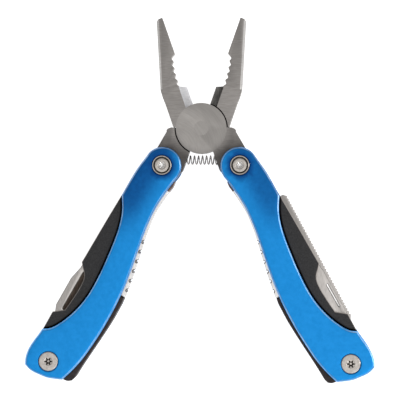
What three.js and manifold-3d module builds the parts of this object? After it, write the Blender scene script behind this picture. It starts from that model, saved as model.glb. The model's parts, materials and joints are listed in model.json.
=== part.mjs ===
// Folding multi-tool pliers: a lap-jointed plier head with two tool-carrying handles.
//
// Frame, in millimetres: the tool lies on its back. +Z points out of its front, +Y from the handles to the
// jaw tips, +X to the right. The head and the handles are drawn about the mid-plane of the tool, and the
// whole tool is moved at the end so that the origin is at the bottom centre of its box.
//
// Head plan (x, y): the jaws closed, the jaw pivot at 0, 0, the jaws towards +Y.
// Handle plan (s, t): s runs from the fold pivot to the tool axle, and t points to the open edge of the
// channel, which is the edge that closes over the jaws.

import * as THREE from 'three';
import { mergeVertices } from 'three/addons/utils/BufferGeometryUtils.js';
import Module from 'manifold-3d';

const wasm = await Module();
wasm.setup();

// ---------------------------------------------------------------- driving dimensions

const jawOpening = 19.1; // degrees that each plier half stands open from the closed position
const handleSplay = { left: 30.1, right: 29.2 }; // degrees between each handle and the line of the tool
const axleDistance = 88; // from the fold pivot to the tool axle

const layerGap = 0.05; // between plates that lie on each other
const scaleThickness = 2.2;
const linerThickness = 1;
const fullToolThickness = 1.5; // the two tools that lie beside the liners
const midToolThickness = 2.3; // the two short tools between them
const headThickness = 8;

const discRadius = 9.9; // lap joint
const discClearance = 0.5; // running gap around each disc
const pinRadius = 2.5;
const barrelRadius = 2.5; // the threaded barrels that the handles and the tools turn on
const runningFit = 0.2; // radial gap of a turning hole
const closeFit = 0.1; // radial gap of a hole round a fixed pin

// distances of the layers from the mid-plane
const headHalf = headThickness / 2;
const channelHalf = headHalf + layerGap + fullToolThickness + layerGap;
const linerOuter = channelHalf + layerGap + linerThickness;
const scaleInner = linerOuter + layerGap;
const scaleOuter = scaleInner + scaleThickness;
const barHalf = channelHalf - layerGap; // what fills the channel from liner to liner

const cut = 1; // how far a cutting solid stands out past the face that it cuts
const clearOut = scaleOuter + cut; // half height of a cut that goes right through

// ---------------------------------------------------------------- finishes

const finishes = {
  groundSteel: { color: 0x8e8a85, roughness: 0.42, metalness: 1 },
  brightSteel: { color: 0xc6c1bd, roughness: 0.3, metalness: 1 },
  springSteel: { color: 0xb9b3ad, roughness: 0.35, metalness: 1 },
  blueAnodised: { color: 0x1577c9, roughness: 0.38, metalness: 0.85 },
  blackSteel: { color: 0x343231, roughness: 0.6, metalness: 0.3 },
  blackPlastic: { color: 0x2c2a2a, roughness: 0.7, metalness: 0 },
};

// ---------------------------------------------------------------- outlines and solids

const radians = THREE.MathUtils.degToRad;
const samePoint = 0.01; // points of an outline closer than this are one point
const weldDistance = 1e-5; // corners of a geometry closer than this are one corner

function points(...pairs) {
  return pairs.map(([x, y]) => new THREE.Vector2(x, y));
}

function spline(count, ...pairs) {
  return new THREE.SplineCurve(points(...pairs)).getPoints(count);
}

function arc(x, y, radius, fromDegrees, toDegrees, count) {
  return Array.from({ length: count + 1 }, (_, i) => {
    const angle = radians(THREE.MathUtils.lerp(fromDegrees, toDegrees, i / count));
    return new THREE.Vector2(x + radius * Math.cos(angle), y + radius * Math.sin(angle));
  });
}

/** Joins runs of points into one closed outline, dropping a point that repeats the one before it. */
function outline(...runs) {
  const all = runs.flat();
  return all.filter((point, i) => point.distanceTo(all.at(i - 1)) > samePoint);
}

/** Moves an anticlockwise outline inwards by the same distance all round. */
function insetBy(distance, loop) {
  return loop.map((point, i) => {
    const arriving = point.clone().sub(loop.at(i - 1)).normalize();
    const leaving = loop[(i + 1) % loop.length].clone().sub(point).normalize();
    const inward = new THREE.Vector2(-arriving.y - leaving.y, arriving.x + leaving.x).normalize();
    const facing = inward.x * -arriving.y + inward.y * arriving.x;
    return point.clone().addScaledVector(inward, distance / facing);
  });
}

/** A closed solid from flat rings of one outline, each level being [height, inset]. */
function loft(shape, levels) {
  const loop = THREE.ShapeUtils.isClockWise(shape) ? [...shape].reverse() : shape;
  const rings = levels.map(([, inset]) => (inset ? insetBy(inset, loop) : loop));
  const count = loop.length;
  const vertices = rings.flatMap((ring, k) => ring.flatMap((point) => [point.x, point.y, levels[k][0]]));
  const faces = [];
  for (let k = 0; k < rings.length - 1; k++) {
    for (let i = 0; i < count; i++) {
      const low = k * count + i;
      const lowNext = k * count + ((i + 1) % count);
      faces.push(low, lowNext, lowNext + count, low, lowNext + count, low + count);
    }
  }
  for (const [a, b, c] of THREE.ShapeUtils.triangulateShape(rings[0], [])) {
    faces.push(c, b, a);
  }
  const top = (rings.length - 1) * count;
  for (const [a, b, c] of THREE.ShapeUtils.triangulateShape(rings.at(-1), [])) {
    faces.push(top + a, top + b, top + c);
  }
  return manifold(new Float32Array(vertices), new Uint32Array(faces));
}

function plate(shape, bottom, top) {
  return loft(shape, [[bottom, 0], [top, 0]]);
}

function manifold(vertProperties, triVerts) {
  return new wasm.Manifold(new wasm.Mesh({ numProp: 3, vertProperties, triVerts }));
}

/** Turns a closed three.js geometry into a solid. */
function solid(geometry) {
  const bare = geometry.clone();
  bare.deleteAttribute('normal');
  bare.deleteAttribute('uv');
  const merged = mergeVertices(bare, weldDistance);
  return manifold(new Float32Array(merged.attributes.position.array), new Uint32Array(merged.index.array));
}

/** An upright cylinder. */
function cylinder(x, y, radius, bottom, top, sides = 20) {
  const height = top - bottom;
  const geometry = new THREE.CylinderGeometry(radius, radius, height, sides);
  return solid(geometry.rotateX(Math.PI / 2).translate(x, y, bottom + height / 2));
}

/** An upright turned solid; the profile lists [radius, height] from the axis back to the axis. */
function turned(x, y, profile, sides = 16) {
  return solid(new THREE.LatheGeometry(points(...profile), sides).rotateX(Math.PI / 2).translate(x, y, 0));
}

/** An upright ring. */
function ring(x, y, outer, inner, bottom, top, sides = 16) {
  return cylinder(x, y, outer, bottom, top, sides)
    .subtract(cylinder(x, y, inner, bottom - cut, top + cut, sides));
}

/** A three-sided prism between two triangles of 3-D points. */
function wedge(near, far) {
  const faces = [0, 1, 2, 3, 5, 4, 0, 3, 1, 1, 3, 4, 1, 4, 2, 2, 4, 5, 2, 5, 0, 0, 5, 3];
  const corners = new Float32Array([...near, ...far].flat());
  const shape = manifold(corners, new Uint32Array(faces));
  return shape.volume() > 0 ? shape : manifold(corners, new Uint32Array(faces.reverse()));
}

function part(name, finish, shape) {
  const { vertProperties, triVerts } = shape.getMesh();
  const geometry = new THREE.BufferGeometry();
  geometry.setAttribute('position', new THREE.BufferAttribute(vertProperties, 3));
  geometry.setIndex(new THREE.BufferAttribute(triVerts, 1));
  geometry.computeVertexNormals();
  const mesh = new THREE.Mesh(geometry, new THREE.MeshStandardMaterial(finishes[finish]));
  mesh.name = name;
  return mesh;
}

// ---------------------------------------------------------------- plier head

const noseGap = 0.3; // from the centre line to each nose face when closed
const tipHeight = 45.8;
const tipHalf = 2.6; // half thickness of the nose at its tip
const taperStart = 20; // height where the jaws begin to thin
const gripTop = 30.9; // the pipe grip runs from here down to gripBottom
const gripBottom = 18.3;
const gripDepth = 2.45;
const toothCount = 5;
const toothDepth = 0.75;
const cutterTop = 17.3;
const cutterWidth = 3; // from the cutting edge to the face of the jaw
const cutterGap = 0.06;
const jawEndAngle = 22.2; // degrees above the joint line where the outside of a jaw ends
const shoulderAngle = -17.2; // and where the shoulder of the opposite tang begins
const jawEndRadius = 10.9; // how far from the jaw pivot the outside of a jaw ends
const shoulderRadius = 11.7; // and how far out the tang's shoulder stands
const rootRadius = 9; // where both outlines pass under the disc
const edgeChamfer = 0.9;
const jawReach = -12; // x beyond the outside of the left jaw
const foldPivot = new THREE.Vector2(9.55, -18.55);
const tangRadius = 6.2;
const tangFace = 1.4; // from the centre line to the inner face of each tang when closed
const springHeight = -13.6;
const seatRadius = 2.5;
const seatDepth = 2.2;
const pinSides = 32;

/** Outside edge of the left jaw from its tip to its bend. */
const jawEdge = [[-2.85, 45.2], [-6.35, 33], [-10, 19.8]];

/** Inner edge of the pipe grip: rounded teeth along a quarter of an ellipse. */
function gripEdge() {
  const stepsPerTooth = 6;
  const steps = toothCount * stepsPerTooth;
  return Array.from({ length: steps + 1 }, (_, i) => {
    const along = i / steps;
    const y = THREE.MathUtils.lerp(gripBottom, gripTop, along);
    const bow = gripDepth * Math.sqrt(1 - along ** 2);
    const tooth = toothDepth * (1 - Math.cos(2 * Math.PI * toothCount * along)) / 2;
    return new THREE.Vector2(-noseGap - bow - tooth, y);
  });
}

/** The left jaw: tip, outside edge, cutting edge and pipe grip. */
function jawOutline() {
  const end = radians(180 - jawEndAngle);
  const atRadius = (radius) => [radius * Math.cos(end), radius * Math.sin(end)];
  return outline(
    points([-noseGap, tipHeight], [-1.7, tipHeight], ...jawEdge),
    spline(3, jawEdge.at(-1), [-10.25, 17], [-10.1, 13.5]),
    points(atRadius(jawEndRadius), atRadius(rootRadius)),
    points([-cutterGap, 5], [-cutterGap, cutterTop], [-cutterWidth, gripBottom]),
    gripEdge(),
  );
}

/** Cuts the bevels of the wire cutter into both faces of a left jaw. */
function cutterBevels() {
  const slope = headHalf / (cutterWidth - cutterGap);
  const start = 4;
  const end = gripBottom - 0.05;
  const top = headHalf + cut;
  const section = (y, face) => [
    [-cutterWidth - cut / slope, y, face * top],
    [cut, y, face * top],
    [cut, y, -face * (cut + cutterGap) * slope],
  ];
  const bevel = (face) => wedge(section(start, face), section(end, face));
  return bevel(1).add(bevel(-1));
}

/** What thins the jaws towards their tips, on one face. */
function taperCut(face) {
  const rise = (headHalf - tipHalf) / (tipHeight - taperStart);
  const end = tipHeight + cut;
  const low = (x) => [x, taperStart, face * headHalf];
  const tip = (x) => [x, end, face * (headHalf - rise * (end - taperStart))];
  const above = (x, y) => [x, y, face * (headHalf + cut)];
  const under = (x) => [low(x), tip(x), above(x, end)];
  const over = (x) => [low(x), above(x, end), above(x, taperStart)];
  return wedge(under(jawReach), under(cut)).add(wedge(over(jawReach), over(cut)));
}

/** Half thickness of a jaw at a height. */
function jawHalf(y) {
  const along = THREE.MathUtils.clamp((y - taperStart) / (tipHeight - taperStart), 0, 1);
  return THREE.MathUtils.lerp(headHalf, tipHalf, along);
}

/** Chamfer along one straight stretch of a jaw's outside edge, on one face. */
function chamferCut([fromX, fromY], [toX, toY], face) {
  const along = new THREE.Vector2(toX - fromX, toY - fromY).normalize();
  const inward = new THREE.Vector2(-along.y, along.x);
  const overrun = 0.35;
  const proud = 0.01; // keeps the cut's sides off the faces of the jaw
  const section = (x, y) => {
    const half = jawHalf(y);
    const corner = (depth, drop) => [x + inward.x * depth, y + inward.y * depth, face * (half - drop)];
    return [corner(edgeChamfer, -proud), corner(-proud, edgeChamfer), corner(-edgeChamfer, -edgeChamfer)];
  };
  return wedge(
    section(fromX - along.x * overrun, fromY - along.y * overrun),
    section(toX + along.x * overrun, toY + along.y * overrun),
  );
}

/** The tang right of the joint, from its shoulder round the eye for the handle's pivot. */
function tangOutline() {
  const shoulder = radians(shoulderAngle);
  const atRadius = (radius) => [radius * Math.cos(shoulder), radius * Math.sin(shoulder)];
  const corner = 3; // radius of the tang's inner corner
  return outline(
    points(atRadius(rootRadius), [tangFace, -6], [tangFace, foldPivot.y + 1.6]),
    arc(tangFace + corner, foldPivot.y + 1.2, corner, 180, 235, 4),
    arc(foldPivot.x, foldPivot.y, tangRadius, 222, 388, 14),
    points([13.75, -12.9], [12.3, -5.6]),
    arc(11.3, -5.1, 1.2, 0, 55, 3),
    points(atRadius(shoulderRadius)),
  );
}

/** One plier half: its jaw on the left, its tang on the right, its disc in front. Both halves are alike. */
function plierHalf() {
  const discSides = 60;
  let jaw = plate(jawOutline(), -headHalf, headHalf).subtract(cutterBevels());
  for (const face of [1, -1]) {
    jaw = jaw.subtract(taperCut(face));
    jaw = jaw.subtract(chamferCut(jawEdge[0], jawEdge[1], face));
    jaw = jaw.subtract(chamferCut(jawEdge[1], jawEdge[2], face));
  }
  const pocket = cylinder(0, 0, discRadius + discClearance, -clearOut, layerGap, discSides);
  const disc = cylinder(0, 0, discRadius, layerGap, headHalf, discSides);
  const springSeat = cylinder(0, 0, seatRadius, -cut, seatDepth, 16)
    .rotate([0, 90, 0]).rotate([0, 0, -jawOpening]).translate([tangFace, springHeight, 0]);
  return jaw.add(plate(tangOutline(), -headHalf, headHalf))
    .subtract(pocket)
    .add(disc)
    .subtract(cylinder(0, 0, pinRadius + closeFit, -clearOut, clearOut, pinSides))
    .subtract(cylinder(...foldPivot, barrelRadius + runningFit, -clearOut, clearOut))
    .subtract(springSeat);
}

/** Where a point of the closed front half is with the jaws open. */
function turnedOpen(point) {
  return point.clone().rotateAround(new THREE.Vector2(), radians(jawOpening));
}

/** The opening spring lies across the tool between the tangs, its ends inside their seats. */
function jawSpring() {
  const seat = turnedOpen(new THREE.Vector2(tangFace, springHeight));
  const seated = 0.75; // how much of each seat's depth the coil fills
  const endX = seat.x + seatDepth * seated;
  const turns = 9.5;
  const coilRadius = 1.8;
  const wireRadius = 0.28;
  class Helix extends THREE.Curve {
    getPoint(along) {
      const angle = 2 * Math.PI * turns * along;
      const x = THREE.MathUtils.lerp(-endX, endX, along);
      return new THREE.Vector3(x, seat.y + coilRadius * Math.cos(angle), coilRadius * Math.sin(angle));
    }
  }
  const wire = new THREE.Shape(arc(0, 0, wireRadius, 0, 270, 3));
  const stepsPerTurn = 10;
  return solid(new THREE.ExtrudeGeometry(wire, {
    steps: turns * stepsPerTurn,
    extrudePath: new Helix(),
    bevelEnabled: false,
  }));
}

// ---------------------------------------------------------------- handle outlines, in s and t

const topCentre = [0, -0.35];
const topRadius = 7.25;
const endCorner = [91.5, -8.2]; // inner corner of the axle end
const cutoutStart = [17.8, 7.7];
const cutoutEnd = [78.3, 8.4];
const outerShoulder = [6, 7.6]; // outer edge between the round top and the cut-away

/** From the outer edge over the round top, down the inner edge and round the axle end to the outer edge. */
function handleEdge() {
  return [
    arc(...topCentre, topRadius, 90, 270, 14),
    spline(18, [0, -7.6], [6, -6.85], [12, -6.25], [17.6, -6.3], [25, -7.05], [35, -8.85], [44, -10.5],
      [53, -11.6], [62, -12], [72, -11.75], [83, -10.6], endCorner),
    spline(4, endCorner, [93.8, -2.5], [94.5, 3.6]),
    spline(4, [94.5, 3.6], [93.6, 7.3], [90, 8.8]),
  ];
}

/** The scale's outer edge is cut away in a long curve that shows the liner. */
function scaleOutline() {
  return outline(
    ...handleEdge(),
    spline(20, cutoutEnd, [76.3, 5.8], [73, 3.7], [68, 1.6], [62, 0.1], [55.5, -0.5], [47, -0.1],
      [38, 0.9], [29.7, 2.3], [23.2, 4.5], cutoutStart),
    points(outerShoulder),
  );
}

/** The liner fills the scale's cut-away, and its own notch uncovers the folded blades. */
function linerOutline() {
  const lip = 0.3; // how far the liner stays inside the edge of the scale
  const notchFrom = 10;
  const notchTo = 85;
  const isOuter = 6.5; // t above which a point lies on the outer edge
  const hidden = insetBy(lip, outline(...handleEdge(), points(cutoutEnd, cutoutStart, outerShoulder)));
  const kept = hidden.filter(({ x, y }) => !(y > isOuter && x > notchFrom && x < notchTo));
  const pastNotch = kept.findIndex(({ x, y }) => y > isOuter && x > notchTo);
  const notch = outline(
    points([78.6, 8.3], [70.6, 8.4], [67.6, 4.5]),
    spline(6, [67.6, 4.5], [60, 3.9], [54.5, 4], [51.8, 5], [50.1, 6.6], [48.2, 8.2]),
    points([18.2, 7.8]),
  );
  const before = kept.findIndex(({ x, y }, i) => i > pastNotch && y > isOuter && x < notchFrom);
  return outline(kept.slice(0, before), notch, kept.slice(before));
}

const springBottom = 51.8; // where the back spring ends and the end spacer begins

/** The locking bar, with a nub at its top that the thumb finds. */
function backSpringOutline() {
  return outline(
    points([3.2, -7.5], [5.2, -7.75], [7, -7.55]),
    spline(6, [9, -7.3], [17, -6.8], [24, -7.55]),
    spline(8, [27, -8], [36, -10], [44, -11.7], [springBottom, -13]),
    spline(8, [springBottom, -8.8], [44, -7.8], [36, -6.6], [27, -5.4], [17, -4.4], [10, -5]),
    points([6.6, -6.2], [3.2, -6.95]),
  );
}

/** Cuts a run of round thumb notches into the inner edge of the back spring. */
function jimped(bar) {
  const count = 6;
  const pitch = 3.9;
  const radius = 0.5;
  const from = { s: 29.5, t: -8.6 };
  const slope = -0.206; // how the inner edge leans along the run
  return Array.from({ length: count }, (_, i) => i * pitch).reduce(
    (rest, along) => rest.subtract(
      cylinder(from.s + along, from.t + slope * along, radius, -clearOut, clearOut, 12),
    ), bar);
}

/** The plastic spacer that fills the channel's inner edge from the back spring to the axle end. */
function endSpacerOutline() {
  const start = springBottom + 0.4;
  return outline(
    points([start, -12.9]),
    spline(8, [54, -13.2], [62, -13.4], [72, -12.9], [82, -12.2], [88.6, -11.9]),
    spline(4, [88.6, -11.9], [90.7, -11.2], [91.4, -9.2], [91.5, -8.5]),
    points([91.1, -7.4]),
    spline(5, [87, -7.6], [80, -7.9], [70, -8.2], [60, -8.6], [start, -8.9]),
  );
}

// ---------------------------------------------------------------- fasteners

const headRadius = 3.75;
const boreRadius = 3.95; // counterbore in a scale
const boreDepth = 1.4;
const boreFloor = scaleOuter - boreDepth;
const headSeat = boreFloor + layerGap; // underside of a screw or barrel head
const threadRadius = 1.6;
const screwEnd = 1.5; // height of a screw's lower end
const recessDepth = { screw: 1.2, barrel: 1.3 };

/** A six-lobed driver recess. */
function recess(s, bottom, top) {
  const lobes = 6;
  const pointsPerLobe = 4;
  const count = lobes * pointsPerLobe;
  const meanRadius = 1.15;
  const lobeHeight = 0.38;
  const star = Array.from({ length: count }, (_, i) => {
    const angle = 2 * Math.PI * i / count;
    const radius = meanRadius + lobeHeight * Math.cos(lobes * angle);
    return new THREE.Vector2(s + radius * Math.cos(angle), radius * Math.sin(angle));
  });
  return plate(star, bottom, top);
}

/** A headed screw from the front, with a driver recess in its crown. */
function screw(s, crown) {
  return turned(s, 0, [
    [0, screwEnd],
    [threadRadius, screwEnd],
    [threadRadius, headSeat],
    [headRadius, headSeat],
    ...crown,
    [0, crown.at(-1)[1]],
  ]).subtract(recess(s, scaleOuter - recessDepth.screw, clearOut));
}

// Crowns from the rim inwards: a groove round a raised centre on the pivot screw, and a flat axle screw.
const pivotCrown = [
  [headRadius, scaleOuter - 0.25],
  [headRadius - 0.3, scaleOuter],
  [headRadius - 0.65, scaleOuter - 0.2],
  [headRadius - 1, scaleOuter],
  [headRadius - 1.3, scaleOuter + 0.15],
];
const axleCrown = [
  [headRadius - 0.15, scaleOuter - 0.35],
  [headRadius - 0.35, scaleOuter - 0.15],
];

/** A headed barrel from the rear, with a blind bore for the screw and a recess of its own. */
function barrel(s) {
  const face = -scaleOuter + 0.15; // a little below the scale
  const bevel = 0.25;
  const end = boreFloor - layerGap;
  const bore = threadRadius + runningFit;
  return turned(s, 0, [
    [0, face],
    [headRadius - bevel, face],
    [headRadius, face + bevel],
    [headRadius, -headSeat],
    [barrelRadius, -headSeat],
    [barrelRadius, end],
    [bore, end],
    [bore, 0],
    [0, 0],
  ]).subtract(recess(s, -clearOut, -scaleOuter + recessDepth.barrel));
}

const pinPlaces = { spring_pin: [46.5, -9.1], spacer_pin: [72, -9.6] }; // s and t of each pin
const rivetRadius = 0.75;
const rivetSides = 12;
const washerRadius = 4.6;
const spacerRadius = 4;

// ---------------------------------------------------------------- tools, drawn folded away

/** Draws a tool from its axle: x runs from the axle towards the fold pivot, y is t. */
function fromAxle(loop) {
  return loop.map(({ x, y }) => new THREE.Vector2(axleDistance - x, y));
}

const toolRound = 5; // radius of a tool's root about the axle

/** The root circle of a tool, from its top round the back to its underside. */
function toolRoot(fromDegrees = 75, toDegrees = 285) {
  return arc(0, 0, toolRound, fromDegrees, toDegrees, 10);
}

/** Plates a folded tool and bores its axle hole. */
function toolPlate(loop, bottom, top) {
  return plate(fromAxle(loop), bottom, top)
    .subtract(cylinder(axleDistance, 0, barrelRadius + runningFit, bottom - cut, top + cut));
}

/** What grinds a blade flat to its edge, on both faces, from a line of constant t. */
function edgeGrind(bottom, top, lineT, edgeT, fromX, toX) {
  const middle = (bottom + top) / 2;
  const edgeHalf = 0.12;
  const below = 0.5;
  const outside = 0.8;
  return [[top, 1], [bottom, -1]].map(([face, outward]) => {
    const section = (x) => [
      [axleDistance - x, lineT, face],
      [axleDistance - x, edgeT, middle + outward * edgeHalf],
      [axleDistance - x, edgeT - below, face + outward * outside],
    ];
    return wedge(section(fromX), section(toX));
  }).reduce((sum, each) => sum.add(each));
}

const frontLayer = [channelHalf - layerGap - fullToolThickness, channelHalf - layerGap];
const rearLayer = [-frontLayer[1], -frontLayer[0]];
const midSpacerHalf = 0.6;
const upperMidLayer = [midSpacerHalf + layerGap, midSpacerHalf + layerGap + midToolThickness];
const lowerMidLayer = [-upperMidLayer[1], -upperMidLayer[0]];

/** A drop-point blade with a humped back that carries a long finger-nail groove. */
function knife() {
  const loop = outline(
    toolRoot(),
    points([10.5, -4.6], [13.5, -3.6], [16, -5.6], [46, -5.4]),
    spline(6, [46, -5.4], [54, -4.2], [61, -1], [66, 3.2]),
    spline(4, [66, 3.2], [58, 6], [48, 7.3], [37.5, 7.6]),
    points([34.4, 8.3], [32.2, 8.75], [20.4, 8.65], [18.2, 7.7], [8, 7.2]),
  );
  return toolPlate(loop, ...frontLayer)
    .subtract(edgeGrind(...frontLayer, -1.2, -5.7, 17, 67))
    .subtract(nailGroove(20, 37.2, 4.95, 1.8));
}

/** A long straight finger-nail groove in the front face of a front-layer blade. */
function nailGroove(fromX, toX, t, width) {
  const half = width / 2;
  const depth = 0.5;
  const face = frontLayer[1];
  const slot = outline(arc(fromX + half, t, half, 90, 270, 4), arc(toX - half, t, half, -90, 90, 4));
  return plate(fromAxle(slot), face - depth, face + cut);
}

/** A blade with a scalloped edge and a short finger-nail groove. */
function serratedKnife() {
  const scallops = 9;
  const scallopPitch = 3;
  const scallopDepth = 0.75;
  const from = { x: 20, t: -5.2 };
  const edge = Array.from({ length: scallops * 3 + 1 }, (_, i) => {
    const lift = i % 3 ? scallopDepth : 0;
    return new THREE.Vector2(from.x + i * scallopPitch / 3, from.t + lift);
  });
  const loop = outline(
    toolRoot(),
    points([12, -4.2], [16, -5.2]),
    edge,
    spline(5, [50, -5], [57, -2.6], [63, 1.8]),
    spline(4, [63, 1.8], [56, 5], [48, 6.9], [40, 7.8]),
    points([37, 8.3], [17, 8.3], [13, 7.6], [8, 7.2]),
  );
  return toolPlate(loop, ...frontLayer)
    .subtract(edgeGrind(...frontLayer, -1.4, -5.4, 19, 65))
    .subtract(nailGroove(21.2, 31.4, 6.95, 0.75));
}

/** A saw whose teeth face the open edge of the channel. */
function saw() {
  const toothPitch = 1.25;
  const toothHeight = 0.55;
  const count = 42;
  const from = { x: 68.6, t: 10.3 };
  const slope = -0.018;
  const teeth = Array.from({ length: count * 2 + 1 }, (_, i) => {
    const along = i * toothPitch / 2;
    return new THREE.Vector2(from.x - along, from.t + slope * along - (i % 2 ? toothHeight : 0));
  });
  const loop = outline(
    toolRoot(),
    points([14, -1.2], [58, 2.4]),
    spline(4, [58, 2.4], [66, 3.6], [69.6, 6], [70, 8.8]),
    teeth,
    points([14.4, 8.4], [8, 7.2]),
  );
  return toolPlate(loop, ...rearLayer);
}

/** A flat bar file with a rounded end. */
function file() {
  const loop = outline(
    toolRoot(),
    points([12, -3.4], [15, -0.6], [61, -0.2]),
    arc(61.4, 2.6, 2.8, -90, 0, 3),
    points([64.2, 5.2], [62.6, 6.9], [14, 7.9], [8, 7]),
  );
  return toolPlate(loop, ...rearLayer);
}

const driverDrop = 5; // how far a driver leans towards the inner edge over its length

/** A short driver on a leaning shank: half widths at the neck and at the tip, and its length. */
function driverOutline(neckHalf, endHalf, length) {
  const axis = new THREE.Vector2(length, -driverDrop).normalize();
  const across = new THREE.Vector2(-axis.y, axis.x);
  const at = (along, side) => [axis.x * along + across.x * side, axis.y * along + across.y * side];
  const neck = 9;
  const narrowing = [length * 0.72, length * 0.8];
  const halves = [[neck, neckHalf], [narrowing[0], neckHalf], [narrowing[1], endHalf], [length, endHalf]];
  return outline(
    toolRoot(100, 262),
    points(...halves.map(([along, half]) => at(along, -half))),
    points(...[...halves].reverse().map(([along, half]) => at(along, half))),
  );
}

/** What thins a flat driver to its tip, on both faces. */
function tipGrind(bottom, top, length, tipThickness) {
  const middle = (bottom + top) / 2;
  const start = length * 0.7;
  const end = length + cut;
  const across = { from: -12, to: 3 };
  return [[top, 1], [bottom, -1]].map(([face, outward]) => {
    const section = (t) => [
      [axleDistance - start, t, face],
      [axleDistance - end, t, middle + outward * tipThickness / 2],
      [axleDistance - end, t, face + outward * cut],
    ];
    return wedge(section(across.from), section(across.to));
  }).reduce((sum, each) => sum.add(each));
}

/** A flat shank with a round, tapered tip. */
function phillipsDriver() {
  const shankLength = 40;
  const tipRadius = 1.15;
  const tipProfile = points([0, 0], [tipRadius, 0], [tipRadius, 4], [0.35, 9], [0, 9]);
  const tipStart = { x: 37, t: -4.65 };
  const [bottom, top] = upperMidLayer;
  const lean = Math.PI / 2 + Math.atan2(driverDrop, shankLength);
  const tip = new THREE.LatheGeometry(tipProfile, 12)
    .rotateZ(lean)
    .translate(axleDistance - tipStart.x, tipStart.t, (bottom + top) / 2);
  return toolPlate(driverOutline(2.8, 2.3, shankLength), bottom, top).add(solid(tip));
}

/** A flat driver, thinned to its tip. */
function flatDriver(layer, neckHalf, length, tipThickness) {
  const endHalf = neckHalf * 0.8;
  return toolPlate(driverOutline(neckHalf, endHalf, length), ...layer)
    .subtract(tipGrind(...layer, length, tipThickness));
}

/** Can opener: a hooked beak with a bottle-cap claw behind it. */
function canOpener() {
  const loop = outline(
    toolRoot(100, 262),
    points([10, -5.2], [22, -6.6], [34, -7.4]),
    spline(4, [34, -7.4], [38, -6.4], [40.4, -3.6], [39.2, -1]),
    points([36.4, -2.2], [33.6, -3.2]),
    arc(30.2, -2.4, 2, -10, -170, 5),
    points([26.4, -1], [23.6, -0.2], [10, 2.6]),
  );
  return toolPlate(loop, ...lowerMidLayer)
    .subtract(edgeGrind(...lowerMidLayer, -5.4, -8, 30, 42));
}

// ---------------------------------------------------------------- assembly

const bothSides = { left: -1, right: 1 };

const toolSets = {
  left: [['knife', knife], ['phillips_driver', phillipsDriver], ['can_opener', canOpener], ['file', file]],
  right: [
    ['serrated_knife', serratedKnife],
    ['large_flat_driver', () => flatDriver(upperMidLayer, 2.8, 46, 0.8)],
    ['small_flat_driver', () => flatDriver(lowerMidLayer, 2.1, 40, 0.6)],
    ['saw', saw],
  ],
};

const screwPlaces = [0, axleDistance];

/** Bores a handle plate for the two barrels. */
function barrelBored(shape) {
  return screwPlaces.reduce(
    (rest, s) => rest.subtract(cylinder(s, 0, barrelRadius + runningFit, -clearOut, clearOut)), shape);
}

/** Bores a handle piece for the two pins. */
function pinBored(shape) {
  return Object.values(pinPlaces).reduce(
    (rest, [s, t]) => rest.subtract(
      cylinder(s, t, rivetRadius + closeFit, -clearOut, clearOut, rivetSides),
    ), shape);
}

/** A scale with a rounded outer edge and a counterbore for each head. */
function scale() {
  const fillet = 1.2;
  const levels = [[scaleInner, 0], [scaleOuter - fillet, 0]];
  for (const angle of [45, 90]) {
    const rise = fillet * Math.sin(radians(angle));
    levels.push([scaleOuter - fillet + rise, fillet * (1 - Math.cos(radians(angle)))]);
  }
  return screwPlaces.reduce(
    (rest, s) => rest.subtract(cylinder(s, 0, boreRadius, boreFloor, clearOut, 32)),
    barrelBored(loft(scaleOutline(), levels)),
  );
}

/** The same plate on the other side of the mid-plane. */
function toRear(shape) {
  return shape.mirror([0, 0, 1]);
}

/** Every piece of one handle, drawn in s and t as the right-hand handle. */
function handlePieces() {
  const frontScale = scale();
  const liner = pinBored(barrelBored(plate(linerOutline(), channelHalf + layerGap, linerOuter)));
  const pieces = {
    front_scale: ['blueAnodised', frontScale],
    rear_scale: ['blueAnodised', toRear(frontScale)],
    front_liner: ['blackSteel', liner],
    rear_liner: ['blackSteel', toRear(liner)],
    back_spring: ['springSteel', jimped(pinBored(plate(backSpringOutline(), -barHalf, barHalf)))],
    end_spacer: ['blackPlastic', pinBored(plate(endSpacerOutline(), -barHalf, barHalf))],
    pivot_screw: ['brightSteel', screw(0, pivotCrown)],
    pivot_barrel: ['brightSteel', barrel(0)],
    axle_screw: ['brightSteel', screw(axleDistance, axleCrown)],
    axle_barrel: ['brightSteel', barrel(axleDistance)],
  };
  const pinRecess = 0.1; // how far a pin's ends stay below the liners
  const pinHalf = linerOuter - pinRecess;
  for (const [name, [s, t]] of Object.entries(pinPlaces)) {
    pieces[name] = ['brightSteel', cylinder(s, t, rivetRadius, -pinHalf, pinHalf, rivetSides)];
  }
  const washerLayers = { front_washer: frontLayer, rear_washer: rearLayer };
  for (const [name, layer] of Object.entries(washerLayers)) {
    pieces[name] = ['brightSteel', ring(0, 0, washerRadius, barrelRadius + runningFit, ...layer)];
  }
  const spacerLayers = [
    [upperMidLayer[1] + layerGap, frontLayer[0] - layerGap],
    [-midSpacerHalf, midSpacerHalf],
    [rearLayer[1] + layerGap, lowerMidLayer[0] - layerGap],
  ];
  spacerLayers.forEach((layer, i) => {
    const shape = ring(axleDistance, 0, spacerRadius, barrelRadius + runningFit, ...layer);
    pieces[`tool_spacer_${i + 1}`] = ['brightSteel', shape];
  });
  return pieces;
}

const tool = new THREE.Group();

const half = plierHalf();
const frontHalf = new THREE.Group();
frontHalf.rotation.z = radians(jawOpening);
frontHalf.add(part('plier_half_front', 'groundSteel', half));
const pin = cylinder(0, 0, pinRadius, -headHalf, headHalf, pinSides);
frontHalf.add(part('plier_pivot_pin', 'groundSteel', pin));
tool.add(frontHalf);

const rearHalf = new THREE.Group();
rearHalf.rotation.z = radians(-jawOpening);
rearHalf.add(part('plier_half_rear', 'groundSteel', half.rotate([0, 180, 0])));
tool.add(rearHalf);

tool.add(part('jaw_spring', 'springSteel', jawSpring()));

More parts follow.
